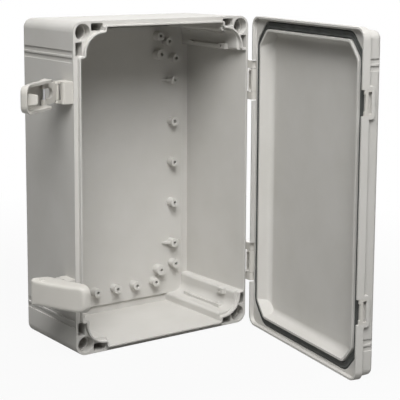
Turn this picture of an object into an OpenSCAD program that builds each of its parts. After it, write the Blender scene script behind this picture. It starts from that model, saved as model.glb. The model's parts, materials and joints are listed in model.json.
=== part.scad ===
// Hinged plastic enclosure shown open: deep moulded base, gasketed lid, two hinges, two toggle latches.
// Frame: +X to the right when facing the open front, +Y to the wall behind, +Z up, millimetres.
// Origin: centre of the flat rear face.

/* [Base] */
// Outside width of the front rim
body_w = 180; // [170:1:220]
// Outside height of the front rim
body_h = 280; // [270:1:340]
// Depth from the rear face to the rim ledge
body_d = 88; // [70:1:120]
// Radius of the four long outside corners
corner_r = 9; // [8.5:0.5:11]
// Thickness of the side walls at the rim
wall = 5; // [4.6:0.1:5.4]
// Thickness of the rear wall in the gutter round the raised panel
rear_wall = 3; // [2.5:0.1:4]
// Height of the raised panel on the inside of the rear wall
panel_rise = 2; // [1:0.1:3]
// Distance of the raised panel from the side walls
panel_gap = 7.5; // [6:0.5:10]
// Amount each side wall draws in towards the rear
draft = 1.2; // [0.6:0.1:1.6]
// Rounding of the rear edges
rear_round = 5; // [4:0.5:5.5]

/* [Rim] */
// Thickness of the sealing tongue round the opening
tongue_t = 1.3; // [1:0.1:1.5]
// Height of the sealing tongue above the rim ledge
tongue_h = 3.7; // [3.2:0.1:4.2]
// Gap left between rim ledge and closed lid
seam_gap = 0.3; // [0.2:0.05:0.5]

/* [Corner posts] */
// Length of each arm of a corner post
post_arm = 30; // [29:0.5:33]
// Depth of each arm of a corner post
post_depth = 12.8; // [12.4:0.1:13]
// Radius of the hollow fillet between the arms
post_fillet = 9; // [8.5:0.5:10]
// Radius of the deep bore for the fixing screw
bore_r = 7; // [6:0.1:7.1]
// Radius of the fixing hole through the rear wall
fixing_r = 2.6; // [2:0.1:3.2]
// Thickness left under the deep bore
bore_floor = 7; // [5:0.5:10]
// Depth at which the deep bore steps in
bore_step = 8; // [5:0.5:14]
// Distance of the inner tongue face from the outer wall, on the posts
seal_depth = 9.9; // [9.8:0.1:9.9]
// Radius of the hollow fillet of the tongue at the corners
seal_fillet = 17.6; // [17.4:0.1:17.6]
// Wall left at the end of the moulding pockets
pocket_wall = 1.5; // [1.4:0.1:1.8]
// Start of a pocket along its arm
pocket_start = 17; // [16.8:0.1:18]

/* [Bosses] */
// Radius of a screw boss
boss_r = 4; // [3.5:0.1:4.5]
// Radius of the large screw boss near each corner
boss_large_r = 5; // [4.6:0.1:6]
// Radius of the pilot hole in a boss
pilot_r = 1.5; // [1:0.1:1.8]
// Height of a boss above the raised panel
boss_h = 8; // [5:0.5:12]
// Pitch of the five bosses in each side column
column_pitch = 38.75; // [34:0.25:42]
// Pitch of the bosses in the bottom row
row_pitch = 21.5; // [18:0.5:22]

/* [Lid] */
// Thickness of the lid
lid_t = 18; // [17:0.5:22]
// Thickness of the lid flange
flange_t = 6.5; // [6:0.1:7]
// Step from the flange to the lid side
flange_step = 1.5; // [1.2:0.1:1.6]
// Draft of the lid side over its depth
lid_draft = 1.4; // [0:0.1:1.6]
// Rounding of the outer lid edges
lid_round = 3.5; // [2:0.1:4.5]
// Thickness of the lid front plate
plate_t = 3.5; // [2.5:0.1:4]
// Thickness of the lid skirt
skirt_t = 1.8; // [1.6:0.05:1.9]
// Distance of the inner lip from the lid edge
lip_inset = 10.3; // [10.2:0.1:10.5]
// Thickness of the inner lip
lip_t = 2; // [1.6:0.1:2.4]
// Distance of the lip edge behind the rim plane of the lid
lip_recess = 2.1; // [1.8:0.1:2.8]
// Radius of the lip corners
lip_r = 7; // [5:0.5:8]
// Radius of the hollow round the tray floor
tray_fillet = 5; // [3:0.5:6]
// Opening angle of the lid
lid_open = 79.2; // [0:0.1:180]

/* [Gasket] */
// Distance of the gasket groove from the lid edge
groove_inset = 3.4; // [3.3:0.1:3.5]
// Thickness of the gasket band
gasket_t = 2.5; // [2:0.1:3]
// Clearance between gasket and its channel walls
gasket_clear = 0.3; // [0.2:0.05:0.4]

/* [Hinges] */
// Distance from the end of the box to the middle of a hinge
hinge_end = 57; // [50:1:66]
// Distance of the hinge axis from the side wall
hinge_out = 3.6; // [3.4:0.1:4.2]
// Distance of the hinge axis in front of the rim ledge
hinge_fwd = 4.4; // [4.2:0.1:4.8]
// Radius of a bracket knuckle
knuckle_r = 3; // [2.8:0.1:3.1]
// Radius of the lid leaf barrel
barrel_r = 2.8; // [2.6:0.1:2.9]
// Radius of the hinge pin
hinge_pin_r = 1.5; // [1.2:0.05:1.6]
// Half height of the leaf barrel
leaf_half = 10.2; // [9:0.1:11]
// Height of one bracket knuckle
knuckle_h = 7; // [6:0.1:8]

/* [Latches] */
// Distance from the end of the box to the middle of a latch
latch_end = 57.5; // [52:0.5:66]
// Distance of the arm pin from the side wall
arm_out = 8.5; // [8.3:0.1:9]
// Distance of the arm pin behind the rim ledge
arm_back = 13; // [12.5:0.1:14]
// Length of the arm between its two pins
arm_l = 17.5; // [17:0.1:18]
// Thickness of the arm plate
arm_t = 3.2; // [2.6:0.1:3.6]
// Radius of the two latch pins
latch_pin_r = 1.25; // [1:0.05:1.3]
// Length of the handle ahead of its pin
handle_fwd = 46; // [45:0.5:48]
// Length of the handle behind its pin
handle_aft = 9; // [7:0.5:10]
// Height of the handle
handle_h = 23; // [23:0.5:25]
// Thickness of the handle shell
handle_t = 2; // [1.8:0.1:2.1]
// Angle of the upper arm, 0 forward, 90 outward, 180 along the wall to the rear
upper_arm = 66; // [50:1:180]
// Angle of the upper handle
upper_handle = 52; // [0:1:60]
// Angle of the lower arm
lower_arm = 80; // [70:1:180]
// Angle of the lower handle
lower_handle = -19.5; // [-23:0.5:0]

/* [Fits] */
// Radial running clearance of pins
run_fit = 0.05; // [0.03:0.01:0.08]
// Radial clearance of pins in their seats
seat_fit = 0.02; // [0.01:0.01:0.03]
// Side clearance between moving pieces
side_gap = 0.3; // [0.2:0.05:0.5]

/* [Hidden] */
$fn = 64;
grey = [0.80, 0.80, 0.78];
pale = [0.86, 0.86, 0.84];
black = [0.25, 0.26, 0.25];
metal = [0.70, 0.70, 0.70];
// Over-cut that keeps cuts open
cut = 1;
half_w = body_w / 2;
half_h = body_h / 2;
core_w = half_w - corner_r;
core_h = half_h - corner_r;
pocket_l = post_arm - pocket_wall - pocket_start;
pocket_in = 2;
pocket_clear = 0.3;
pocket_d = seal_depth - tongue_t - pocket_clear - pocket_in;
pocket_r = 1;
panel_v = body_d - rear_wall - panel_rise;
boss_wing = 10;
hinge_z = half_h - hinge_end;
latch_z = half_h - latch_end;
// Roundings of the ends of the post arms
arm_round = 2.4;
arm_root_r = 1;
// Boss positions: distances from the side and from the end of the box
column_in = 26;
row_up = 27;
column_x = half_w - column_in;
row_z = row_up - half_h;
large_boss = [41, 38];
side_boss = [24.5, 42];
top_bosses = [[42, 21], [32, 26.3]];
// Recessed bands on the side faces
band_depth = 0.8;
band_h = 4;
band_z = [half_h - 28, half_h - 33.7];
band_stop = 2;
// Radius of the bore below its step
bore_inner_r = bore_r - 1.2;
// Card rails on the corner posts
rail_t = 3;
rail_rise = 2.7;
rail_from = 21;
rail_to = body_d - rear_wall - 16;
// Distance of a rail from the outer wall, on the level and on the upright arms
level_rail = 20;
upright_rail = 29;
stop_l = 8;
stop_t = 5;
stop_rise = 3.5;
end_l = 6;
end_rise = 3.3;
wing_t = 2;
wing_drop = 2;
// The gasket face clears the tongue by the seam gap
gasket_recess = tongue_h;
channel_depth = gasket_recess + gasket_t;
// Chamfer of the lip corners along X and Z
lip_cx = 13;
lip_cz = 14;
tray_slope = 1.5;
lid_side = half_w - flange_step;
axis_x = half_w + hinge_out;
axis_y = -hinge_fwd;
// Wall plate of a hinge bracket: where it starts and ends behind the rim, and how far it stands out
plate_from = 4;
plate_to = 15;
plate_out = 1.2;
knuckle_from = 0.6;
knuckle_foot = 2.2;
plate_over = 1;
bracket_half = leaf_half + side_gap + knuckle_h + plate_over;
notch_clear = 0.4;
notch_half = bracket_half - notch_clear;
// Foot of a hinge leaf on the lid side
leaf_foot = 2.5;
leaf_foot_t = 2;
leaf_web = 36;
// Extra depth of cuts behind the lid skirt
skirt_over = 0.1;
latch_notch = 10.2;
pad_half = 12.85;
pad_from = 2;
pad_depth = 11.6;
pad_r = 2.5;
hook_pocket = 3;
hook_depth = 8.8;
pin_x = -half_w - arm_out;
arm_half = 8.4;
root_half = 6.5;
prong_in = 4.5;
ear_half = 9.1;
ear_r = 2.6;
arm_end_r = 2.4;
arm_wide = 2.2;
fork_web = 2.6;
// Latch bracket: front block and ears, as distances behind the rim and out from the wall
block_from = 1;
block_to = 5.5;
block_out = 9;
block_edge = 1.5;
ear_rear = 4;
ear_rear_out = 3;
ear_front_out = 6;
foot_out = 1.8;
bar_out = [1, 8];
bar_back = [2.5, 4];
bar_t = 2;
pin_short = 0.8;
// Handle profile across its length: along the handle, then across it, negative on the outer side
handle_out = 5.5;
handle_in = 7.5;
handle_tip_in = 5.5;
handle_flat = 8;
handle_tip_out = 0.5;
hook_at = arm_back + arm_l + 6.5;
hook_t = 2;
hook_reach = arm_out + 2.6;
hook_half = 7.6;
keeper_bar_t = 1.7;
keeper_from = 3;
keeper_to = 5.6;
keeper_post = 1.8;
keeper_nib = 1;

// X position of the drafted side wall at a distance behind the rim ledge
function wall_x(v) = half_w - draft * v / body_d;

// X position of a side face with a slope
function face_x(v, inset, slope) = half_w - inset - slope * v;

// X position of the drafted lid side at a distance behind the rim plane of the lid
function lid_x(v) = lid_side - lid_draft * v / lid_t;

// Vector of length one
function unit(v) = v / norm(v);

// Chamfer scale that keeps a lip outline parallel when it is moved in by e
function lip_scale(e) = 1 + e * (sqrt(1 / lip_cx ^ 2 + 1 / lip_cz ^ 2) - 1 / lip_cx - 1 / lip_cz);

// Puts geometry written behind the rim ledge in its place
module from_rim() {
    translate([0, -body_d, 0])
        children();
}

// Puts lid geometry written for the closed lid at the opening angle
module lid_place() {
    from_rim()
        translate([axis_x, axis_y, 0])
            rotate([0, 0, lid_open])
                translate([-axis_x, -axis_y - seam_gap, 0])
                    children();
}

// Extrudes an outline in X and Z along Y
module prism_y(from, to) {
    translate([0, to, 0])
        rotate([90, 0, 0])
            linear_extrude(height = to - from)
                children();
}

// Repeats geometry in all four corners
module corners() {
    for (sx = [0, 1])
        for (sz = [0, 1])
            mirror([sx, 0, 0])
                mirror([0, 0, sz])
                    children();
}

// Convex outline with a rounding at each point that has a radius
module rounded(points, radii) {
    n = len(points);
    difference() {
        polygon(points);
        for (i = [0:n - 1])
            if (radii[i] > 0) {
                v = points[i];
                a = unit(points[(i + n - 1) % n] - v);
                b = unit(points[(i + 1) % n] - v);
                half = acos(a * b) / 2;
                reach = radii[i] / tan(half);
                c = v + unit(a + b) * radii[i] / sin(half);
                difference() {
                    polygon([v - unit(a + b) * cut, v + a * reach, c, v + b * reach]);
                    translate(c)
                        circle(radii[i]);
                }
            }
    }
}

// Rectangle with round corners
module round_rect(w, h, r) {
    square([w - 2 * r, h], center = true);
    square([w, h - 2 * r], center = true);
    for (x = [r - w / 2, w / 2 - r])
        for (y = [r - h / 2, h / 2 - r])
            translate([x, y])
                circle(r);
}

// Section of a shell edge: draft line, then a rounding tangent to it and to the end face
module edge_profile(out, depth, taper, r) {
    n = [depth, taper] / sqrt(depth ^ 2 + taper ^ 2);
    c = [(out * n[0] - r - (depth - r) * n[1]) / n[0], depth - r];
    t = c + r * n;
    polygon([[0, 0], [out, 0], t, c, [c[0], depth], [0, depth]]);
    intersection() {
        translate(c)
            circle(r);
        polygon([c, c + 2 * r * n, c + [0, 2 * r]]);
    }
}

// Solid block with drafted sides, round long corners and rounded end edges, from Y 0 to its depth
module shell_block(out, depth, taper, r) {
    linear_extrude(height = 2 * core_h, center = true)
        for (s = [0, 1])
            mirror([s, 0])
                union() {
                    translate([core_w, 0])
                        edge_profile(out, depth, taper, r);
                    square([core_w, depth]);
                }
    rotate([0, -90, 0])
        linear_extrude(height = 2 * core_w, center = true)
            for (s = [0, 1])
                mirror([s, 0])
                    union() {
                        translate([core_h, 0])
                            edge_profile(out, depth, taper, r);
                        square([core_h, depth]);
                    }
    corners()
        translate([core_w, 0, core_h])
            rotate([-90, 0, 0])
                rotate_extrude()
                    edge_profile(out, depth, taper, r);
}

// One arm of a corner post with its end rounded on the inside
module arm_2d(l, d, r) {
    square([l - r, d]);
    square([l, d - r]);
    translate([l - r, d - r])
        circle(r);
}

// Outline of one corner post with its depth and fillet, drawn in from the outer corner and thinned by g
module post_2d(depth, fillet, g) {
    fillet_c = depth + fillet;
    for (flip = [0, 1])
        mirror([flip, -flip]) {
            arm_2d(post_arm - g, depth - g, arm_round - g);
            difference() {
                translate([post_arm - g, 0])
                    square([arm_root_r + g, wall + arm_root_r]);
                translate([post_arm + arm_root_r, wall + arm_root_r])
                    circle(arm_root_r + g);
            }
        }
    difference() {
        square(fillet_c);
        translate([fillet_c, fillet_c])
            circle(fillet + g);
    }
}

// Outline of the opening between walls and posts, grown by g
module opening_2d(depth, fillet, g) {
    difference() {
        square([body_w - 2 * (wall - g), body_h - 2 * (wall - g)], center = true);
        for (sx = [0, 1])
            for (sz = [0, 1])
                mirror([sx, 0])
                    mirror([0, sz])
                        translate([-half_w, -half_h])
                            post_2d(depth, fillet, g);
    }
}

// Rectangle with cut corners, moved in from the lip outline by e
module lip_2d(e) {
    w = half_w - lip_inset - e;
    h = half_h - lip_inset - e;
    cx = lip_cx * lip_scale(e);
    cz = lip_cz * lip_scale(e);
    corner_points = [[w - cx, h], [cx - w, h], [-w, h - cz], [-w, cz - h],
        [cx - w, -h], [w - cx, -h], [w, cz - h], [w, h - cz]];
    rounded(corner_points, [for (v = corner_points) lip_r - e]);
}

// Two recessed bands near the ends of both side faces, between two distances behind the rim
module side_bands(inset, slope, from, to) {
    for (z = band_z)
        corners()
            translate([0, 0, z])
                linear_extrude(height = band_h)
                    polygon([[face_x(from, inset, slope) - band_depth, from],
                        [face_x(to, inset, slope) - band_depth, to], [half_w + cut, to], [half_w + cut, from]]);
}

// One boss with its pilot hole, standing on the raised panel
module boss(x, z, r) {
    translate([x, panel_v - boss_h, z])
        rotate([-90, 0, 0])
            difference() {
                cylinder(r = r, h = boss_h);
                translate([0, 0, -cut])
                    cylinder(r = pilot_r, h = boss_h + cut);
            }
}

// Boss pattern on the raised panel
module bosses() {
    for (sx = [-1, 1])
        for (i = [-2:2])
            boss(sx * column_x, i * column_pitch, boss_r);
    for (sx = [-1, 1])
        for (sz = [-1, 1])
            translate([sx * column_x, panel_v, sz * 2 * column_pitch])
                linear_extrude(height = wing_t, center = true)
                    for (s = [0, 1])
                        mirror([s, 0])
                            polygon([[pilot_r, 0], [boss_wing, 0], [boss_r, wing_drop - boss_h],
                                [pilot_r + wing_drop / 2, wing_drop - boss_h]]);
    for (i = [-2:2])
        boss(i * row_pitch, row_z, boss_r);
    corners() {
        boss(half_w - large_boss[0], half_h - large_boss[1], boss_large_r);
        boss(half_w - side_boss[0], half_h - side_boss[1], boss_r);
    }
    for (sx = [-1, 1])
        for (place = top_bosses)
            boss(sx * (half_w - place[0]), half_h - place[1], boss_r);
}

// Card rails on the level arms of the posts and on the upright arms of the top posts, stops below
module rails() {
    corners()
        translate([half_w, 0, half_h]) {
            rail(level_rail);
            stop(level_rail);
            mirror([1, 0, -1])
                stop(upright_rail);
        }
    for (s = [0, 1])
        mirror([s, 0, 0])
            translate([half_w, 0, half_h])
                mirror([1, 0, -1])
                    rail(upright_rail);
}

// One rail with its raised rear end, on an arm that runs from the outer corner to the middle
module rail(at) {
    translate([-at, rail_from, -post_depth - rail_rise])
        cube([rail_t, rail_to - rail_from, rail_rise + cut]);
    translate([-at, rail_to - end_l, -post_depth - end_rise])
        cube([rail_t + cut, end_l, end_rise + cut]);
}

// Block that stops a card at the front of a rail, with a notch for its edge
module stop(at) {
    difference() {
        translate([-at - (stop_t - rail_t) / 2, rail_from - stop_l, -post_depth - stop_rise])
            cube([stop_t, stop_l + cut, stop_rise + cut]);
        translate([-at + rail_t / 4, rail_from - stop_l / 2, -post_depth - stop_rise - cut])
            cube([rail_t / 2, stop_l, stop_rise - rail_rise + 2 * cut]);
    }
}

// Deep screw bores, their fixing holes and the moulding pockets of the corner posts
module post_cuts() {
    corners()
        translate([core_w, 0, core_h])
            rotate([-90, 0, 0]) {
                translate([0, 0, -tongue_h - cut])
                    cylinder(r = bore_r, h = bore_step + tongue_h + cut);
                cylinder(r = bore_inner_r, h = body_d - bore_floor);
                cylinder(r = fixing_r, h = body_d + cut);
            }
    corners()
        prism_y(-cut, body_d - bore_floor)
            for (flip = [0, 1])
                translate([half_w, half_h])
                    rotate(180)
                        mirror([flip, -flip])
                            translate([pocket_start + pocket_l / 2, pocket_in + pocket_d / 2])
                                round_rect(pocket_l, pocket_d, pocket_r);
}

// Moulded base
module base() {
    color(grey)
        from_rim()
            difference() {
                union() {
                    difference() {
                        shell_block(corner_r, body_d, draft, rear_round);
                        prism_y(-cut, body_d - rear_wall)
                            opening_2d(post_depth, post_fillet, 0);
                    }
                    prism_y(-tongue_h, cut)
                        difference() {
                            opening_2d(seal_depth, seal_fillet, tongue_t);
                            opening_2d(seal_depth, seal_fillet, 0);
                        }
                    prism_y(panel_v, body_d - rear_wall + cut)
                        round_rect(body_w - 2 * (wall + panel_gap), body_h - 2 * (wall + panel_gap), corner_r);
                    bosses();
                    rails();
                }
                post_cuts();
                side_bands(0, draft / body_d, band_stop, body_d + cut);
            }
}

// Raised pad round one latch notch, flush with the flange
module latch_pad() {
    translate([lid_side - hook_pocket, 0, 0])
        rotate([0, 90, 0])
            linear_extrude(height = hook_pocket + flange_step)
                translate([0, -(pad_depth + pad_from) / 2])
                    round_rect(2 * pad_half, pad_depth - pad_from, pad_r);
}

// Opening for the hook and the catch bar in one latch pad
module latch_notch() {
    translate([half_w - skirt_t - skirt_over, -hook_depth, -latch_notch])
        cube([skirt_t + cut, hook_depth + cut, 2 * latch_notch]);
    translate([half_w - hook_pocket, -hook_depth, -latch_notch])
        cube([hook_pocket + cut, hook_depth - keeper_to, 2 * latch_notch]);
}

// Section of the lid tray: sloped sides and a hollow rounding at the floor
module tray_2d(w) {
    floor_y = plate_t - lid_t;
    rounded([[-w, cut], [w, cut], [w, -lip_recess], [w - tray_slope, floor_y],
        [tray_slope - w, floor_y], [-w, -lip_recess]], [0, 0, 0, tray_fillet, tray_fillet, 0]);
}

// Hollow of the lid tray
module tray() {
    edge = lip_inset + lip_t;
    intersection() {
        prism_y(plate_t - lid_t, cut)
            lip_2d(lip_t);
        linear_extrude(height = body_h, center = true)
            tray_2d(half_w - edge);
        rotate([0, -90, 0])
            linear_extrude(height = body_w, center = true)
                tray_2d(half_h - edge);
    }
}

// Moulded lid
module lid() {
    color(grey)
        lid_place()
            difference() {
                union() {
                    prism_y(-flange_t, 0)
                        round_rect(body_w, body_h, corner_r);
                    mirror([0, 1, 0])
                        shell_block(corner_r - flange_step, lid_t, lid_draft, lid_round);
                    for (s = [-1, 1])
                        translate([0, 0, s * latch_z])
                            mirror([1, 0, 0])
                                latch_pad();
                }
                prism_y(-lip_recess, cut)
                    round_rect(body_w - 2 * skirt_t, body_h - 2 * skirt_t, corner_r - skirt_t);
                prism_y(-gasket_recess, cut)
                    difference() {
                        round_rect(body_w - 2 * skirt_t, body_h - 2 * skirt_t, corner_r - skirt_t);
                        lip_2d(0);
                    }
                prism_y(-channel_depth, cut)
                    difference() {
                        lip_2d(groove_inset - lip_inset);
                        lip_2d(0);
                    }
                tray();
                for (s = [-1, 1])
                    translate([0, 0, s * latch_z])
                        mirror([1, 0, 0])
                            latch_notch();
                for (s = [-1, 1])
                    translate([half_w - skirt_t - skirt_over, -flange_t, s * hinge_z - notch_half])
                        cube([skirt_t + cut, flange_t + cut, 2 * notch_half]);
                side_bands(flange_step, -lid_draft / lid_t, -lid_t - cut, -flange_t);
            }
}

// Flat rubber band in the lid channel
module gasket() {
    color(black)
        lid_place()
            prism_y(-channel_depth, -gasket_recess)
                difference() {
                    lip_2d(groove_inset + gasket_clear - lip_inset);
                    lip_2d(-gasket_clear);
                }
}

// Base half of a hinge: a wall plate with two knuckles
module hinge_bracket(z) {
    color(pale)
        from_rim()
            difference() {
                union() {
                    for (s = [0, 1])
                        translate([0, 0, z])
                            mirror([0, 0, s])
                                translate([0, 0, leaf_half + side_gap])
                                    linear_extrude(height = knuckle_h) {
                                        polygon([[wall_x(knuckle_from), knuckle_from],
                                            [wall_x(plate_to), plate_to], [half_w + knuckle_foot, plate_to],
                                            [axis_x + knuckle_r, plate_from],
                                            [axis_x + knuckle_r, axis_y], [axis_x - knuckle_r, axis_y],
                                            [axis_x - knuckle_r, knuckle_from]]);
                                        translate([axis_x, axis_y])
                                            circle(knuckle_r);
                                    }
                    translate([0, 0, z])
                        linear_extrude(height = 2 * bracket_half, center = true)
                            polygon([[wall_x(plate_from), plate_from], [wall_x(plate_to), plate_to],
                                [half_w + plate_out, plate_to], [half_w + plate_out, plate_from]]);
                }
                translate([axis_x, axis_y, z])
                    cylinder(r = hinge_pin_r + seat_fit, h = 2 * bracket_half + cut, center = true);
            }
}

// Lid half of a hinge: a foot on the lid side and one barrel
module hinge_leaf(z) {
    // Lower end of the foot on the lid side
    foot = leaf_foot - lid_t;
    // Barrel axis seen from the lid's rim plane
    bar_y = axis_y + seam_gap;
    web = barrel_r * [cos(leaf_web), sin(leaf_web)];
    color(pale)
        lid_place()
            difference() {
                translate([0, 0, z])
                    linear_extrude(height = 2 * leaf_half, center = true) {
                        polygon([[lid_x(flange_t), -flange_t], [lid_x(-foot), foot],
                            [lid_side + leaf_foot_t, foot], [axis_x + web[0], bar_y - web[1]],
                            [axis_x, bar_y], [axis_x - web[0], bar_y + web[1]]]);
                        translate([axis_x, bar_y])
                            circle(barrel_r);
                    }
                translate([axis_x, bar_y, z])
                    cylinder(r = hinge_pin_r + run_fit, h = 2 * leaf_half + cut, center = true);
            }
}

// Hinge pin
module hinge_pin(z) {
    color(metal)
        from_rim()
            translate([axis_x, axis_y, z])
                cylinder(r = hinge_pin_r, h = 2 * (leaf_half + side_gap + knuckle_h), center = true);
}

// Puts latch geometry written from the arm pin in its place
module arm_place(z, arm) {
    from_rim()
        translate([pin_x, arm_back, z])
            rotate([0, 0, 270 - arm])
                children();
}

// Puts latch geometry written from the handle pin in its place
module handle_place(z, arm, handle) {
    arm_place(z, arm)
        translate([arm_l, 0, 0])
            rotate([0, 0, arm - handle])
                children();
}

// Base half of a latch: front block, window with a middle bar, two ears
module latch_bracket(z) {
    rear = arm_back + ear_rear;
    color(pale)
        from_rim()
            translate([0, 0, z])
                difference() {
                    union() {
                        for (s = [0, 1])
                            mirror([0, 0, s])
                                translate([0, 0, root_half + side_gap])
                                    linear_extrude(height = ear_half - root_half - side_gap) {
                                        polygon([[-wall_x(block_to), block_to], [-wall_x(rear), rear],
                                            [-half_w - ear_rear_out, rear], [pin_x, arm_back + ear_r],
                                            [pin_x, arm_back - ear_r], [-half_w - ear_front_out, block_to]]);
                                        translate([pin_x, arm_back])
                                            circle(ear_r);
                                    }
                        linear_extrude(height = 2 * ear_half, center = true) {
                            polygon([[-wall_x(block_from), block_from], [-wall_x(block_to), block_to],
                                [-half_w - block_out, block_to], [-half_w - block_out, block_from + block_edge],
                                [block_edge - half_w - block_out, block_from]]);
                            polygon([[-wall_x(block_to), block_to], [-wall_x(rear), rear],
                                [-half_w - foot_out, rear], [-half_w - foot_out, block_to]]);
                        }
                        linear_extrude(height = bar_t, center = true)
                            polygon([[-half_w - bar_out[0], block_to - cut],
                                [-half_w - bar_out[1], block_to - cut],
                                [-half_w - bar_out[1], block_to + bar_back[0]],
                                [-half_w - bar_out[0], block_to + bar_back[1]]]);
                    }
                    translate([pin_x, arm_back, 0])
                        cylinder(r = latch_pin_r + seat_fit, h = 2 * ear_half + cut, center = true);
                }
}

// Forked latch arm
module latch_arm(z, arm) {
    // Where the plate widens past the bracket ears
    wide = ear_r + arm_wide;
    notch_r = prong_in;
    color(pale)
        arm_place(z, arm)
            difference() {
                union() {
                    cylinder(r = arm_end_r, h = 2 * root_half, center = true);
                    translate([0, -arm_t / 2, -root_half])
                        cube([wide, arm_t, 2 * root_half]);
                    translate([wide, -arm_t / 2, -arm_half])
                        cube([arm_l - wide, arm_t, 2 * arm_half]);
                    translate([arm_l, 0, 0])
                        cylinder(r = arm_end_r, h = 2 * arm_half, center = true);
                }
                translate([wide + fork_web + notch_r, 0, 0])
                    rotate([90, 0, 0])
                        cylinder(r = notch_r, h = arm_t + 2 * cut, center = true);
                translate([wide + fork_web + notch_r, -arm_end_r - cut, -prong_in])
                    cube([arm_l, 2 * (arm_end_r + cut), 2 * prong_in]);
                cylinder(r = latch_pin_r + run_fit, h = 2 * root_half + cut, center = true);
                translate([arm_l, 0, 0])
                    cylinder(r = latch_pin_r + seat_fit, h = 2 * arm_half + cut, center = true);
            }
}

// Outer outline of the handle, seen along its pin, drawn in by e on the outer side and the tip
module handle_2d(e) {
    tip = handle_fwd - e;
    run = handle_fwd - handle_flat;
    drop = handle_out - handle_tip_out;
    arc_r = (run ^ 2 + drop ^ 2) / (2 * drop);
    top = e - handle_out;
    edge_r = 2;
    difference() {
        union() {
            translate([-handle_aft, top])
                square([handle_aft + handle_flat, handle_in - top]);
            intersection() {
                translate([handle_flat, arc_r - handle_out])
                    circle(arc_r - e, $fn = 360);
                polygon([[handle_flat, top], [tip, top], [tip, handle_tip_in], [handle_flat, handle_in]]);
            }
        }
        translate([-handle_aft - cut, top - cut])
            difference() {
                square(edge_r + cut);
                translate([edge_r + cut, edge_r + cut])
                    circle(edge_r);
            }
    }
}

// Hollow latch handle with its hook and inner ribs
module latch_handle(z, arm, handle) {
    inner_half = handle_h / 2 - handle_t;
    ear_from = arm_half + side_gap;
    rib_t = 1.5;
    tip_r = 5;
    color(pale)
        handle_place(z, arm, handle)
            difference() {
                union() {
                    intersection() {
                        difference() {
                            linear_extrude(height = handle_h, center = true)
                                handle_2d(0);
                            linear_extrude(height = 2 * inner_half, center = true)
                                union() {
                                    handle_2d(handle_t);
                                    translate([-handle_aft - cut, handle_t - handle_out])
                                        square([handle_aft, handle_out + handle_in]);
                                    translate([-handle_aft, handle_tip_in - cut])
                                        square([handle_aft + handle_fwd - handle_t, handle_in]);
                                }
                        }
                        rotate([90, 0, 0])
                            linear_extrude(height = 4 * handle_tip_in, center = true)
                                translate([(handle_fwd - handle_aft) / 2 - tip_r, 0])
                                    round_rect(handle_fwd + handle_aft + 2 * tip_r, handle_h, tip_r);
                    }
                    for (s = [0, 1])
                        mirror([0, 0, s])
                            translate([0, 0, ear_from])
                                cylinder(r = arm_end_r, h = inner_half - ear_from + handle_t / 2);
                    translate([hook_at, -handle_tip_out - handle_t / 2, -hook_half])
                        cube([hook_t, hook_reach + handle_tip_out + handle_t / 2, 2 * hook_half]);
                    for (s = [-1, 1])
                        translate([hook_at, -handle_t / 2, s * (hook_half - rib_t / 2) - rib_t / 2])
                            cube([handle_fwd - hook_at - handle_t / 2, handle_tip_in - handle_t / 2, rib_t]);
                }
                cylinder(r = latch_pin_r + run_fit, h = handle_h + cut, center = true);
            }
}

// Pin of the arm
module arm_pin(z) {
    color(metal)
        from_rim()
            translate([pin_x, arm_back, z])
                cylinder(r = latch_pin_r, h = 2 * ear_half, center = true);
}

// Pin of the handle
module handle_pin(z, arm, handle) {
    color(metal)
        handle_place(z, arm, handle)
            cylinder(r = latch_pin_r, h = handle_h - pin_short, center = true);
}

// Catch bar clipped into a latch notch
module keeper(z) {
    x = half_w - keeper_bar_t;
    color(pale)
        lid_place()
            translate([0, 0, z])
                mirror([1, 0, 0]) {
                    translate([x, -keeper_to, -latch_notch])
                        cube([keeper_bar_t, keeper_to - keeper_from, 2 * latch_notch]);
                    for (s = [0, 1])
                        mirror([0, 0, s]) {
                            translate([x, -hook_depth, latch_notch - keeper_post])
                                cube([keeper_bar_t, hook_depth - keeper_from + keeper_nib, keeper_post]);
                            translate([x, -keeper_from, latch_notch - 2 * keeper_post])
                                cube([keeper_bar_t, keeper_nib, keeper_post]);
                        }
                }
}

base();
lid();
gasket();
hinge_bracket(hinge_z);  // hinge_bracket_upper
hinge_bracket(-hinge_z);  // hinge_bracket_lower
hinge_leaf(hinge_z);  // hinge_leaf_upper
hinge_leaf(-hinge_z);  // hinge_leaf_lower
hinge_pin(hinge_z);  // hinge_pin_upper
hinge_pin(-hinge_z);  // hinge_pin_lower
latch_bracket(latch_z);  // latch_bracket_upper
latch_bracket(-latch_z);  // latch_bracket_lower
latch_arm(latch_z, upper_arm);  // latch_arm_upper
latch_arm(-latch_z, lower_arm);  // latch_arm_lower
latch_handle(latch_z, upper_arm, upper_handle);  // latch_handle_upper
latch_handle(-latch_z, lower_arm, lower_handle);  // latch_handle_lower
arm_pin(latch_z);  // arm_pin_upper
arm_pin(-latch_z);  // arm_pin_lower
handle_pin(latch_z, upper_arm, upper_handle);  // handle_pin_upper
handle_pin(-latch_z, lower_arm, lower_handle);  // handle_pin_lower
keeper(latch_z);  // keeper_upper
keeper(-latch_z);  // keeper_lower
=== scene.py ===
# %% [markdown]
# # A hinged ABS enclosure, dressed from its solids
#
# The object is a wall box for electronics: a deep moulded base, a shallow lid on two
# hinges, a dark gasket in the lid, and two toggle latches on the free side.
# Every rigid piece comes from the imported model, at its real place and size in metres.
# This script gives each piece the finish of its real material, makes the soft gasket, the
# rounded latch handles and two hinge guards, and sets up a floor, soft light and the camera.

# %% Load the frame
import json
import math

import bmesh
import bpy
from mathutils import Matrix, Quaternion, Vector


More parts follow.
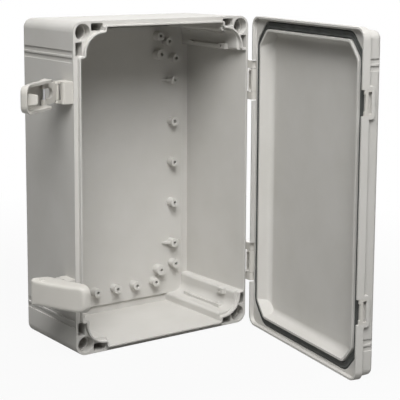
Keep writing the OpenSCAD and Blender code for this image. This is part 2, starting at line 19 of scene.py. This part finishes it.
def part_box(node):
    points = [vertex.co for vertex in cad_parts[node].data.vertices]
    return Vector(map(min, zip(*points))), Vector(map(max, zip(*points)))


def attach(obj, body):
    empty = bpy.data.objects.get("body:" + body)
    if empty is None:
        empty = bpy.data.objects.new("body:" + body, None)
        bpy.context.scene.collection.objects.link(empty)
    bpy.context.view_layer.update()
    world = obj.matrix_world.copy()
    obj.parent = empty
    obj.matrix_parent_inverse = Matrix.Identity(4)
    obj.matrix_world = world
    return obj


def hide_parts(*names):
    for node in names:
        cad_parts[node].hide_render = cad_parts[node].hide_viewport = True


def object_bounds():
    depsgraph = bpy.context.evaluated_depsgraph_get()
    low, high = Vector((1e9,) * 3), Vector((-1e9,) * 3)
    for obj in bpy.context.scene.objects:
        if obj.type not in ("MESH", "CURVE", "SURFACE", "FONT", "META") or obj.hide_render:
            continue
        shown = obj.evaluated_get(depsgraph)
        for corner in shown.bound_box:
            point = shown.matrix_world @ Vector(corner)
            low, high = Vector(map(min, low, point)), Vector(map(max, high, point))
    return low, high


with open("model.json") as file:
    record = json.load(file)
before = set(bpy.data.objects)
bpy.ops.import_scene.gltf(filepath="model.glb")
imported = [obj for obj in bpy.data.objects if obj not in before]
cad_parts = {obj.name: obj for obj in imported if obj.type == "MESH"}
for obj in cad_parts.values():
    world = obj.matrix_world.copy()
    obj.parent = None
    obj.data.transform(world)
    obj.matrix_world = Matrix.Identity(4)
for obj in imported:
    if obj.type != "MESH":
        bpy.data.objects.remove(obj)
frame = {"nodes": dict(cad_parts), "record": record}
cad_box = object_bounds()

MM = 0.001
nodes = frame["nodes"]
joints = {joint["name"]: joint for joint in frame["record"]["behaviour"]["joints"]}
scene = bpy.context.scene

# %% [markdown]
# ## Camera
#
# The view looks down a little from the left of the open front. A long lens keeps the
# long edges nearly parallel, as in a catalogue picture. The frame is square, and a small
# vertical shift keeps the upright edges upright. A camera can be placed by eye, but a small
# error shows along a whole straight edge, so place, aim and lens come from a fit to the
# edges of the photograph.

# %% Camera
EYE = Vector((-0.6131, -0.9681, 0.1988))
AIM = Vector((0.03753, -0.088, 0.02403))
ROLL = math.radians(0.30)
LENS, SENSOR = 113.8, 36.0
SHIFT_Y = -0.125

camera_data = bpy.data.cameras.new("camera")
camera_data.lens = LENS
camera_data.sensor_width = SENSOR
camera_data.shift_y = SHIFT_Y
camera = bpy.data.objects.new("camera", camera_data)
camera.location = EYE
camera.rotation_mode = "QUATERNION"
camera.rotation_quaternion = (AIM - EYE).to_track_quat("-Z", "Y") @ Quaternion((0, 0, 1), ROLL)
scene.collection.objects.link(camera)
scene.camera = camera
print("camera distance", round((AIM - EYE).length, 3), "m")

# %% [markdown]
# ## One helper for node materials
#
# A material is a small graph. It could be built by hand in the shader editor, but code can
# be read and repeated. `add` makes one node, sets its properties, and fills its inputs: a
# number or colour is typed in, and a socket is linked. `linear` turns a colour written as
# in a paint program into the linear values that the renderer works with.

# %% Node helper
def linear(code):
    """An sRGB hex colour as linear RGBA."""
    parts = [int(code[i:i + 2], 16) / 255 for i in (1, 3, 5)]
    return [c / 12.92 if c <= 0.04045 else ((c + 0.055) / 1.055) ** 2.4 for c in parts] + [1.0]


def add(tree, kind, inputs=None, **settings):
    """A node of that kind with its settings, and its inputs typed in or linked."""
    node = tree.nodes.new(kind)
    for name, value in settings.items():
        setattr(node, name, value)
    for name, value in (inputs or {}).items():
        if isinstance(value, bpy.types.NodeSocket):
            tree.links.new(value, node.inputs[name])
        else:
            node.inputs[name].default_value = value
    return node


def new_material(name):
    """An empty node material and its tree."""
    material = bpy.data.materials.new(name)
    material.use_nodes = True
    material.node_tree.nodes.clear()
    return material, material.node_tree


print("white paper is", [round(c, 3) for c in linear("#ffffff")[:3]])

# %% [markdown]
# ## Moulded ABS
#
# The base and the lid are injection moulded ABS in light grey. The mould is taken to be
# spark eroded, so the surface has a fine even grain that breaks up reflections, and the
# colour drifts a little where the plastic flowed. The fittings are ABS of nearly the same
# grey, from a smoother mould. No moulded edge is knife sharp. Bevels on the meshes would
# round the edges too, but the solids stay as they are, so the Bevel node rounds the light
# on every edge by the radius of the mould's own edges. The same node shows where an edge
# is, and there the colour is painted a little paler: a painted highlight along every edge.

# %% Material for the base, the lid and the fittings
ABS_IOR = 1.54
# Half of the usual strength: at a grazing view, the white surroundings wash out the top less
ABS_SPECULAR = 0.25
# Flow marks are tens of millimetres long
FLOW_MM = 45
# Most of a noise pattern lies between these two values
NOISE_LOW, NOISE_HIGH = 0.3, 0.7
# How far the rounded normal agrees with the flat one where the painted edge highlight starts and where
# it is full, and its share of the paler colour
EDGE_HIGHLIGHT_START, EDGE_HIGHLIGHT_FULL, EDGE_HIGHLIGHT_SHARE = 0.99, 0.8, 0.6
SMOOTHER, ROUGHER = 0.05, 0.07


def moulded_abs(name, colour, flow_colour, edge_highlight_colour, roughness, grain_mm, grain_depth, edge_mm):
    """Moulded ABS: a fine grain, soft flow marks, rounded edges, and a highlight painted paler along
    them.
    """
    material, tree = new_material(name)
    place = add(tree, "ShaderNodeTexCoord").outputs["Object"]
    # The real grain is about 0.1 mm, too fine to show, so it is drawn coarser
    grain = add(tree, "ShaderNodeTexNoise",
                {"Vector": place, "Scale": 1 / (grain_mm * MM), "Detail": 3.0, "Roughness": 0.6})
    flow = add(tree, "ShaderNodeTexNoise",
               {"Vector": place, "Scale": 1 / (FLOW_MM * MM), "Detail": 4.0, "Roughness": 0.55})
    drift = add(tree, "ShaderNodeMapRange",
                {"Value": flow.outputs["Fac"], "From Min": NOISE_LOW, "From Max": NOISE_HIGH})
    body = add(tree, "ShaderNodeMixRGB",
               {"Fac": drift.outputs["Result"], "Color1": linear(colour), "Color2": linear(flow_colour)})
    rounding = add(tree, "ShaderNodeBevel", {"Radius": edge_mm * MM}, samples=6)
    flat = add(tree, "ShaderNodeNewGeometry")
    turn = add(tree, "ShaderNodeVectorMath",
               {0: rounding.outputs["Normal"], 1: flat.outputs["Normal"]}, operation="DOT_PRODUCT")
    # Painted highlight: where the rounded normal turns away from the flat one, the colour is mixed paler
    edge = add(tree, "ShaderNodeMapRange",
               {"Value": turn.outputs["Value"], "From Min": EDGE_HIGHLIGHT_START, "From Max": EDGE_HIGHLIGHT_FULL,
                "To Max": EDGE_HIGHLIGHT_SHARE})
    highlighted_colour = add(tree, "ShaderNodeMixRGB",
               {"Fac": edge.outputs["Result"], "Color1": body.outputs["Color"],
                "Color2": linear(edge_highlight_colour)})
    gloss = add(tree, "ShaderNodeMapRange",
                {"Value": grain.outputs["Fac"], "From Min": NOISE_LOW, "From Max": NOISE_HIGH,
                 "To Min": roughness - SMOOTHER, "To Max": roughness + ROUGHER})
    bump = add(tree, "ShaderNodeBump",
               {"Height": grain.outputs["Fac"], "Distance": grain_depth * MM, "Strength": 0.5,
                "Normal": rounding.outputs["Normal"]})
    shader = add(tree, "ShaderNodeBsdfPrincipled",
                 {"Base Color": highlighted_colour.outputs["Color"], "Roughness": gloss.outputs["Result"],
                  "Normal": bump.outputs["Normal"], "IOR": ABS_IOR,
                  "Specular IOR Level": ABS_SPECULAR})
    add(tree, "ShaderNodeOutputMaterial", {"Surface": shader.outputs["BSDF"]})
    return material


# The paler edge colours are painted highlights along the edges
body_abs = moulded_abs("abs_spark_eroded_light_grey",
                       colour="#cccac6", flow_colour="#c6c4bf", edge_highlight_colour="#d7d5d1",
                       roughness=0.72, grain_mm=1.2, grain_depth=0.05, edge_mm=0.5)
fitting_abs = moulded_abs("abs_polished_mould_pale_grey",
                          colour="#cbc8c2", flow_colour="#c5c2bb", edge_highlight_colour="#d8d5d0",
                          roughness=0.34, grain_mm=1.6, grain_depth=0.02, edge_mm=0.4)
print("made", body_abs.name, "and", fitting_abs.name)

# %% [markdown]
# ## Rubber and steel
#
# The gasket is a dark foamed rubber band with an open, slightly dusty skin. The pins are
# taken to be drawn steel wire with a bright zinc coat and fine lines along the pull. A
# pattern could be painted on each, but both are small and even, so a cell pattern and a
# stretched noise do as well, and they need no unwrapping.

# %% Material for the gasket
# Real pores are about 0.4 mm wide; they are drawn wider so that they show
PORE_MM, PORE_DEPTH_MM = 0.8, 0.15
DUST_MM, DUST_LOW, DUST_HIGH = 12, 0.35, 0.75


def foamed_rubber():
    """Foamed rubber: small pores, a matt skin and a little pale dust."""
    material, tree = new_material("foamed_rubber_moulded_dark_grey")
    place = add(tree, "ShaderNodeTexCoord").outputs["Object"]
    pores = add(tree, "ShaderNodeTexVoronoi", {"Vector": place, "Scale": 1 / (PORE_MM * MM)})
    dust = add(tree, "ShaderNodeTexNoise",
               {"Vector": place, "Scale": 1 / (DUST_MM * MM), "Detail": 5.0})
    cover = add(tree, "ShaderNodeMapRange",
                {"Value": dust.outputs["Fac"], "From Min": DUST_LOW, "From Max": DUST_HIGH})
    skin = add(tree, "ShaderNodeMixRGB",
               {"Fac": cover.outputs["Result"], "Color1": linear("#3b3d3b"),
                "Color2": linear("#4c4e4b")})
    bump = add(tree, "ShaderNodeBump",
               {"Height": pores.outputs["Distance"], "Distance": PORE_DEPTH_MM * MM, "Strength": 0.4})
    shader = add(tree, "ShaderNodeBsdfPrincipled",
                 {"Base Color": skin.outputs["Color"], "Roughness": 0.78, "IOR": 1.5,
                  "Normal": bump.outputs["Normal"]})
    add(tree, "ShaderNodeOutputMaterial", {"Surface": shader.outputs["BSDF"]})
    return material


gasket_rubber = foamed_rubber()
print("made", gasket_rubber.name)

# %% Material for the pins
# Lines per metre: they are about 0.3 mm wide, and about 8 mm long, up the pin
LINES_ACROSS, LINES_ALONG = 3300.0, 120.0


def zinc_steel():
    """Zinc coated steel wire: bright, with fine drawing lines along the upright pin."""
    material, tree = new_material("steel_wire_drawn_zinc_coated")
    place = add(tree, "ShaderNodeTexCoord").outputs["Object"]
    stretch = add(tree, "ShaderNodeMapping",
                  {"Vector": place, "Scale": (LINES_ACROSS, LINES_ACROSS, LINES_ALONG)})
    lines = add(tree, "ShaderNodeTexNoise",
                {"Vector": stretch.outputs["Vector"], "Scale": 1.0, "Detail": 2.0})
    gloss = add(tree, "ShaderNodeMapRange",
                {"Value": lines.outputs["Fac"], "To Min": 0.22, "To Max": 0.42})
    shader = add(tree, "ShaderNodeBsdfPrincipled",
                 {"Base Color": linear("#c9cacc"), "Metallic": 1.0,
                  "Roughness": gloss.outputs["Result"]})
    add(tree, "ShaderNodeOutputMaterial", {"Surface": shader.outputs["BSDF"]})
    return material


pin_steel = zinc_steel()
print("made", pin_steel.name)

# %% [markdown]
# ## A finish for each solid
#
# Every solid of the enclosure takes one of the four materials. They could be given one by
# one, but the names already say what each piece is, so one loop does it and leaves none out.

# %% Finish for each solid
for name, obj in nodes.items():
    if "pin" in name:
        finish = pin_steel
    elif name == "gasket":
        finish = gasket_rubber
    elif name in ("base", "lid"):
        finish = body_abs
    else:
        finish = fitting_abs
    obj.data.materials.clear()
    obj.data.materials.append(finish)
    print(name, finish.name, len(obj.data.polygons), "faces")

# %% [markdown]
# ## Gasket ring
#
# The seal is one moulded ring of foamed rubber in the groove of the lid. Its section is
# low, with two rounded beads: the outer one meets the tongue along the walls of the base,
# and the inner one meets it round the corner posts. The solid is only a flat band, so the
# ring is lofted here. The groove's outline, a rectangle with cut and rounded corners, is
# drawn once for each point of the section, moved in by that point's distance from the edge
# of the lid, and the outlines are joined with quads. A curve with a bevel profile could
# make it too; the loft keeps each point at its exact distance from the edge of the lid.

# %% Outline of the groove
LIP_INSET, LIP_ROUND = 10.3, 7.0
CUT_X, CUT_Z = 13.0, 14.0
ARC_STEPS = 10
lid_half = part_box("base")[1] / MM


def groove_outline(inset):
    """Points of the groove's outline, at that distance in millimetres from the lid edge."""
    beyond = inset - LIP_INSET
    w, h = lid_half.x - inset, lid_half.z - inset
    grow = 1 + beyond * (math.hypot(1 / CUT_X, 1 / CUT_Z) - 1 / CUT_X - 1 / CUT_Z)
    cx, cz = CUT_X * grow, CUT_Z * grow
    corners = [Vector(p) for p in ((w, h - cz), (w - cx, h), (cx - w, h), (-w, h - cz),
                                   (-w, cz - h), (cx - w, -h), (w - cx, -h), (w, cz - h))]
    radius = LIP_ROUND - beyond
    points = []
    for i, corner in enumerate(corners):
        before = (corners[i - 1] - corner).normalized()
        after = (corners[(i + 1) % len(corners)] - corner).normalized()
        half = before.angle(after) / 2
        centre = corner + (before + after).normalized() * radius / math.sin(half)
        arm = corner + before * radius / math.tan(half) - centre
        for k in range(ARC_STEPS + 1):
            turn = Matrix.Rotation((math.pi - 2 * half) * k / ARC_STEPS, 2)
            points.append(centre + turn @ arm)
    return points


print("groove outline has", len(groove_outline(LIP_INSET)), "points")

# %% Section of the ring
RING_OUT, RING_IN = 3.75, 9.95
FOOT_DEPTH, VALLEY_DEPTH, BEAD_RISE, BEAD_HALF = 6.15, 4.5, 0.95, 1.15
SECTION_STEPS = 30


def ring_section():
    """Points of the section: distance from the lid edge and depth behind the rim, in millimetres."""
    points = [(RING_OUT, FOOT_DEPTH)]
    for k in range(SECTION_STEPS + 1):
        inset = RING_OUT + (RING_IN - RING_OUT) * k / SECTION_STEPS
        across = min(inset - RING_OUT, RING_IN - inset) / BEAD_HALF - 1
        rise = BEAD_RISE * math.cos(math.pi / 2 * min(across, 1)) ** 2
        points.append((inset, VALLEY_DEPTH - rise))
    points.append((RING_IN, FOOT_DEPTH))
    return points


print("section has", len(ring_section()), "points")

# %% Place of a point on the open lid
BASE_DEPTH, SEAM = 88.0, 0.3
hinge_place = Vector(joints["lid_hinge"]["pos_m"]) / MM
opening = Matrix.Rotation(math.radians(-joints["lid_hinge"]["range_deg"][0]), 3, "Z")


def on_open_lid(x, depth, z):
    """The place in metres of a point of the lid, drawn closed and then turned open."""
    closed = Vector((x, -BASE_DEPTH - SEAM - depth, z))
    return (hinge_place + opening @ (closed - hinge_place)) * MM


print("hinge at", [round(v, 1) for v in hinge_place], "mm")

# %% Mesh helpers
def bridge(mesh, low, high):
    """Joins two closed loops of vertices with quads."""
    for k in range(len(low)):
        mesh.faces.new((low[k - 1], low[k], high[k], high[k - 1]))


def piece_from(mesh, name, material, sharp_deg):
    """A smooth shaded object from a finished mesh, with edges sharp above that angle."""
    data = bpy.data.meshes.new(name)
    mesh.to_mesh(data)
    mesh.free()
    data.shade_smooth()
    data.set_sharp_from_angle(angle=math.radians(sharp_deg))
    data.materials.append(material)
    piece = bpy.data.objects.new(name, data)
    scene.collection.objects.link(piece)
    print(name, len(data.polygons), "faces")
    return piece


# %% Loft of the ring
mesh = bmesh.new()
loops = [[mesh.verts.new(on_open_lid(p.x, depth, p.y)) for p in groove_outline(inset)]
         for inset, depth in ring_section()]
for i, loop in enumerate(loops):
    bridge(mesh, loops[i - 1], loop)
bmesh.ops.recalc_face_normals(mesh, faces=mesh.faces)
ring = piece_from(mesh, "gasket_ring", gasket_rubber, sharp_deg=50)
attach(ring, "lid")
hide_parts("gasket")

# %% [markdown]
# ## Latch handles
#
# A latch handle is a moulded cup that a fingertip can lift: the cheeks lean in towards the
# crown, the tip is round, and the end at the pin is open, so that the arm can fold into it.
# The solid has the same outline with square edges. Soft edges like these would need many
# bevels on it, so the cup is lofted: one outline is repeated at a list of levels, each a
# bit further in and further up. The outside leans; the inside stays straight, because the
# ears of the bracket fill it when the latch is closed.

# %% Outline and side view of a handle
HANDLE_AFT, HANDLE_FWD, HANDLE_HALF = 9.0, 46.0, 11.5
FLAT_TO, CROWN_ROOT, CROWN_TIP = 8.0, -5.5, -0.5
RIM_ROOT, RIM_TIP, RIM_SLOPE = 7.5, 5.5, 9.0
TIP_ROUND, ROOT_ROUND, SMALLEST_ROUND = 7.0, 2.5, 0.6
SHELL = 2.0


def crown_at(u):
    """Height of the crown of the handle at a place along it; the open side counts upwards."""
    run, drop = HANDLE_FWD - FLAT_TO, CROWN_TIP - CROWN_ROOT
    arc = (run ** 2 + drop ** 2) / (2 * drop)
    return CROWN_ROOT + arc - math.sqrt(arc ** 2 - max(u - FLAT_TO, 0.0) ** 2)


def rim_at(u):
    """Height of the rim, which runs down to the crown at the end near the pin."""
    full = RIM_ROOT + (RIM_TIP - RIM_ROOT) * max(u - FLAT_TO, 0.0) / (HANDLE_FWD - FLAT_TO)
    low = crown_at(u) + SHELL
    share = min((u + HANDLE_AFT) / RIM_SLOPE, 1.0)
    return low + (full - low) * share * share * (3 - 2 * share)


def half_width(u, inset):
    """Half width of the outline moved in by the inset, with its round corners."""
    width = HANDLE_HALF - inset
    for gap, corner in ((HANDLE_FWD - inset - u, TIP_ROUND), (u + HANDLE_AFT - inset, ROOT_ROUND)):
        radius = max(corner - inset, SMALLEST_ROUND)
        if gap < radius:
            width -= radius - math.sqrt(radius ** 2 - (radius - max(gap, 0.0)) ** 2)
    return width


print("handle depth at the pin", round(rim_at(0) - crown_at(0), 2), "mm, at the tip",
      round(rim_at(HANDLE_FWD) - crown_at(HANDLE_FWD), 2), "mm")

# %% Shell of a handle
ALONG, ACROSS = 30, 10
# Levels of each skin: millimetres inwards, and the share of the way from rim to crown
OUTSIDE = [(-0.3, 0.0), (-0.35, 0.05), (0.0, 0.28), (0.4, 0.52), (0.8, 0.74),
           (1.15, 0.86), (1.75, 0.94), (2.5, 0.985), (3.6, 1.0)]
INSIDE = [(1.8, 0.0), (2.0, 0.03), (2.0, 0.5), (2.0, 0.95), (2.15, 0.99), (2.6, 1.0)]


def border():
    """Steps along and across for each point round the outline, in order."""
    steps = [(i, 0) for i in range(ALONG + 1)]
    steps += [(ALONG, j) for j in range(1, ACROSS)]
    steps += [(i, ACROSS) for i in range(ALONG, -1, -1)]
    return steps + [(0, j) for j in range(ACROSS - 1, 0, -1)]


def shell_point(i, j, inset, share, lift):
    """Place of one point of the shell, along, towards the open side, and across."""
    step = (1 - math.cos(math.pi * i / ALONG)) / 2
    rim = rim_at(-HANDLE_AFT + (HANDLE_FWD + HANDLE_AFT) * step)
    u = -HANDLE_AFT + inset + (HANDLE_FWD + HANDLE_AFT - 2 * inset) * step
    w = half_width(u, inset) * (1 - 2 * j / ACROSS)
    return Vector((u, rim + (min(crown_at(u) + lift, rim) - rim) * share, w))


def handle_shell(mesh):
    """Adds the outside and the inside of the cup, joined along the rim."""
    rims = []
    for levels, lift in ((OUTSIDE, 0.0), (INSIDE, SHELL)):
        rings = [[mesh.verts.new(shell_point(i, j, *level, lift)) for i, j in border()]
                 for level in levels]
        for low, high in zip(rings, rings[1:]):
            bridge(mesh, low, high)
        last = dict(zip(border(), rings[-1]))
        for i in range(1, ALONG):
            for j in range(1, ACROSS):
                last[i, j] = mesh.verts.new(shell_point(i, j, *levels[-1], lift))
        for i in range(ALONG):
            for j in range(ACROSS):
                mesh.faces.new((last[i, j], last[i + 1, j], last[i + 1, j + 1], last[i, j + 1]))
        rims.append(rings[0])
    bridge(mesh, *rims)


print("outline of a handle has", len(border()), "points")

# %% Hook, ribs and pin bosses of a handle
HOOK_AT, HOOK_END = 37.0, 11.0
# Levels of the hook: height, thickness along the handle, and half width
HOOK = [(-0.6, 5.0, 5.4), (1.5, 3.4, 5.0), (4.0, 2.4, 4.5), (8.0, 2.0, 4.0), (10.4, 1.8, 3.6),
        (HOOK_END, 1.2, 3.0)]
HOOK_CORNERS = ((0, -1), (1, -1), (1, 1), (0, 1))
RIB_FROM, RIB_TO, RIB_SIDE, RIB_THICK = 27.0, 41.0, 5.2, 1.4
RIB_STEPS, RIB_RISE, RIB_SWELL = 8, 0.5, 2.0
BOSS_FROM, BOSS_TO, PIN_HOLE = 8.7, 11.45, 1.35
# Outline of a pin boss: radius, and distance from the middle of the handle
BOSS = [(PIN_HOLE, 11.3), (PIN_HOLE, BOSS_FROM), (2.4, BOSS_FROM), (2.8, 9.6), (2.9, 10.8),
        (2.4, BOSS_TO)]
BOSS_SIDES = 28


def skin_of_loops(mesh, loops):
    """Joins loops of points into one closed skin with a face at each end."""
    rings = [[mesh.verts.new(point) for point in loop] for loop in loops]
    for low, high in zip(rings, rings[1:]):
        bridge(mesh, low, high)
    mesh.faces.new(rings[0])
    mesh.faces.new(rings[-1])


def rib_loop(step, side):
    """Corners of one section of a rib, which rises towards the tip."""
    share = step / RIB_STEPS
    u = RIB_FROM + (RIB_TO - RIB_FROM) * share
    foot = crown_at(u) + SHELL / 2
    top = crown_at(u) + SHELL + RIB_RISE + RIB_SWELL * share ** 2
    near, far = side - RIB_THICK / 2, side + RIB_THICK / 2
    return [Vector((u, v, w)) for v, w in ((foot, near), (foot, far), (top, far), (top, near))]


def handle_fittings(mesh):
    """Adds the hook, the two ribs that brace the crown, and the bosses round the pin."""
    skin_of_loops(mesh, [[Vector((HOOK_AT + a * thick, v, b * half)) for a, b in HOOK_CORNERS]
                         for v, thick, half in HOOK])
    for side in (-RIB_SIDE, RIB_SIDE):
        skin_of_loops(mesh, [rib_loop(step, side) for step in range(RIB_STEPS + 1)])
    turns = [2 * math.pi * k / BOSS_SIDES for k in range(BOSS_SIDES)]
    for side in (-1, 1):
        skin_of_loops(mesh, [[Vector((radius * math.cos(turn), radius * math.sin(turn), side * w))
                              for turn in turns] for radius, w in BOSS])


print("hook stands", HOOK_END - RIM_TIP, "mm out of the handle")

# %% Shell with its pin hole
mesh = bmesh.new()
handle_shell(mesh)
bmesh.ops.recalc_face_normals(mesh, faces=mesh.faces)
whole_data = bpy.data.meshes.new("handle_whole")
mesh.to_mesh(whole_data)
mesh.free()
whole = bpy.data.objects.new("handle_whole", whole_data)
scene.collection.objects.link(whole)
bpy.ops.mesh.primitive_cylinder_add(vertices=BOSS_SIDES, radius=PIN_HOLE, depth=4 * HANDLE_HALF)
drill = bpy.context.object
hole = whole.modifiers.new("pin_hole", "BOOLEAN")
hole.operation, hole.solver, hole.object = "DIFFERENCE", "EXACT", drill
drilled = bpy.data.meshes.new_from_object(whole.evaluated_get(bpy.context.evaluated_depsgraph_get()))
for leftover in (whole, drill):
    bpy.data.objects.remove(leftover)
print("drilled shell:", len(drilled.polygons), "faces")

# %% Handles in place
# A handle is drawn along X; this turn points it to the front, and its angle counts from there
TO_FRONT = 270.0
ANGLES = {"upper": 52.0, "lower": -19.5}
for end, angle in ANGLES.items():
    pin = joints[end + "_handle_swing"]
    mesh = bmesh.new()
    handle_fittings(mesh)
    bmesh.ops.recalc_face_normals(mesh, faces=mesh.faces)
    mesh.from_mesh(drilled)
    mesh.transform(Matrix.Translation(pin["pos_m"])
                   @ Matrix.Rotation(math.radians(TO_FRONT - angle), 4, "Z") @ Matrix.Scale(MM, 4))
    cup = piece_from(mesh, "handle_cup_" + end, fitting_abs, sharp_deg=40)
    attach(cup, end + "_handle")
    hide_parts("latch_handle_" + end)

# %% [markdown]
# ## Hinge guards
#
# In the photograph the space beside each hinge barrel is closed by a shallow pocket, dark
# at its top. The picture doesn't show which half of the hinge carries it, so this piece is
# a guess: a curved guard behind the barrel, on the lid. A flat web on the base would be
# simpler, but by its sizes it would stand in the way of the leaf when the lid is fully
# back. The guard is a part of a ring round the pin, so it passes the corner of the base at
# every angle of the lid. One section, thick at its two ends and thin between them, is swept
# along the pin.

# %% Hinge guards
GUARD_FROM, GUARD_TO, GUARD_STEPS = 62.0, 150.0, 14
# Levels along the pin: place from the middle, inner radius and outer radius in millimetres
GUARD = [(-9.9, 2.7, 4.8), (-9.6, 2.7, 5.1), (-8.6, 2.7, 5.1), (-8.3, 4.3, 5.1),
         (8.3, 4.3, 5.1), (8.6, 2.7, 5.1), (9.6, 2.7, 5.1), (9.9, 2.7, 4.8)]


def guard_loop(along, inside, outside, middle):
    """Points round the guard at one level along the hinge pin."""
    turns = [math.radians(GUARD_FROM + (GUARD_TO - GUARD_FROM) * k / GUARD_STEPS)
             for k in range(GUARD_STEPS + 1)]
    ends = [(outside, turn) for turn in turns] + [(inside, turn) for turn in reversed(turns)]
    return [Vector((hinge_place.x + radius * math.cos(turn),
                    hinge_place.y + radius * math.sin(turn), middle + along)) * MM
            for radius, turn in ends]


for end in ("upper", "lower"):
    low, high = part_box("hinge_leaf_" + end)
    mesh = bmesh.new()
    skin_of_loops(mesh, [guard_loop(*level, (low.z + high.z) / 2 / MM) for level in GUARD])
    bmesh.ops.recalc_face_normals(mesh, faces=mesh.faces)
    guard = piece_from(mesh, "hinge_guard_" + end, fitting_abs, sharp_deg=30)
    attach(guard, "lid")

# %% [markdown]
# ## Floor and world
#
# The picture is a plain white catalogue cut. More light would make the background white,
# but would wash out the object. So the floor and the world show white to the camera and to
# reflections, and light the object less than that. Near the object the floor lets a little
# of its own shade through, so the object stands on something; further out it is plain
# white, and no horizon shows.

# %% Floor
FLOOR_Z, FLOOR_WIDE = cad_box[0].z, 12.0
# Metres from the middle where the shade starts to fade and is gone, and the white in the shade
SHADE_NEAR, SHADE_FAR, SHADE_WHITE = 0.22, 0.6, 0.94


def seen_directly(tree):
    """1 for rays from the camera, a reflection or glass, and 0 for light rays."""
    path = add(tree, "ShaderNodeLightPath")
    some = add(tree, "ShaderNodeMath",
               {0: path.outputs["Is Camera Ray"], 1: path.outputs["Is Glossy Ray"]},
               operation="MAXIMUM")
    both = add(tree, "ShaderNodeMath",
               {0: some.outputs[0], 1: path.outputs["Is Transmission Ray"]}, operation="MAXIMUM")
    return both.outputs[0]


bpy.ops.mesh.primitive_plane_add(size=FLOOR_WIDE, location=(0, 0, FLOOR_Z))
floor = bpy.context.object
floor.name = "floor"
floor_paper, tree = new_material("matt_white_paper")
paper = add(tree, "ShaderNodeBsdfDiffuse", {"Color": linear("#8c8c8a")})
white = add(tree, "ShaderNodeEmission", {"Color": linear("#ffffff"), "Strength": 1.0})
away = add(tree, "ShaderNodeVectorMath",
           {0: add(tree, "ShaderNodeTexCoord").outputs["Object"]}, operation="LENGTH")
plain = add(tree, "ShaderNodeMapRange",
            {"Value": away.outputs["Value"], "From Min": SHADE_NEAR, "From Max": SHADE_FAR,
             "To Min": SHADE_WHITE, "To Max": 1.0})
share = add(tree, "ShaderNodeMath",
            {0: seen_directly(tree), 1: plain.outputs["Result"]}, operation="MULTIPLY")
mix = add(tree, "ShaderNodeMixShader",
          {"Fac": share.outputs[0], 1: paper.outputs[0], 2: white.outputs[0]})
add(tree, "ShaderNodeOutputMaterial", {"Surface": mix.outputs[0]})
floor.data.materials.append(floor_paper)
print("floor at", round(FLOOR_Z, 4), "m")

# %% World
AMBIENT = 0.015
world = bpy.data.worlds.new("studio")
world.use_nodes = True
world.node_tree.nodes.clear()
scene.world = world
tree = world.node_tree
strength = add(tree, "ShaderNodeMapRange",
               {"Value": seen_directly(tree), "To Min": AMBIENT, "To Max": 1.0})
sky = add(tree, "ShaderNodeBackground",
          {"Color": linear("#ffffff"), "Strength": strength.outputs["Result"]})
add(tree, "ShaderNodeOutputWorld", {"Surface": sky.outputs[0]})
print("ambient light", AMBIENT)

# %% [markdown]
# ## Softboxes
#
# A studio lights such a box with large soft lamps. One lamp would leave half of it dark, so
# there are five: three in front and above, which leave the upper part of the inside in
# shade, and two weaker or more distant ones behind, for the sides that the camera doesn't
# see. The lamps are square area lights, because their size sets how soft a shadow is.

# %% Softboxes
LAMP_AIM = Vector((0.05, -0.10, 0.0))
# Name, place in metres, width in metres and power in watts
LAMPS = [("key", (-0.35, -0.75, 0.85), 0.6, 6.4),
         ("top", (-0.05, -1.1, 2.4), 1.2, 9.0),
         ("fill", (-0.65, -0.9, 1.2), 1.0, 19.5),
         ("back", (-0.2, 0.5, 1.3), 0.9, 2.0),
         ("rear", (1.3, 1.3, 0.5), 1.2, 14.0)]


def softbox(name, place, size, power):
    """A square area lamp that faces the middle of the object."""
    data = bpy.data.lights.new(name, "AREA")
    data.shape = "SQUARE"
    data.size = size
    data.energy = power
    lamp = bpy.data.objects.new(name, data)
    lamp.location = place
    lamp.rotation_euler = (LAMP_AIM - Vector(place)).to_track_quat("-Z", "Y").to_euler()
    scene.collection.objects.link(lamp)


for lamp in LAMPS:
    softbox(*lamp)
scene.view_settings.view_transform = "Standard"
print("lamps set:", ", ".join(lamp[0] for lamp in LAMPS))

# %% [markdown]
#
# The dressed part has to stay inside the box of its solids; both boxes could be measured by
# hand in the viewport.

print("scene set up")
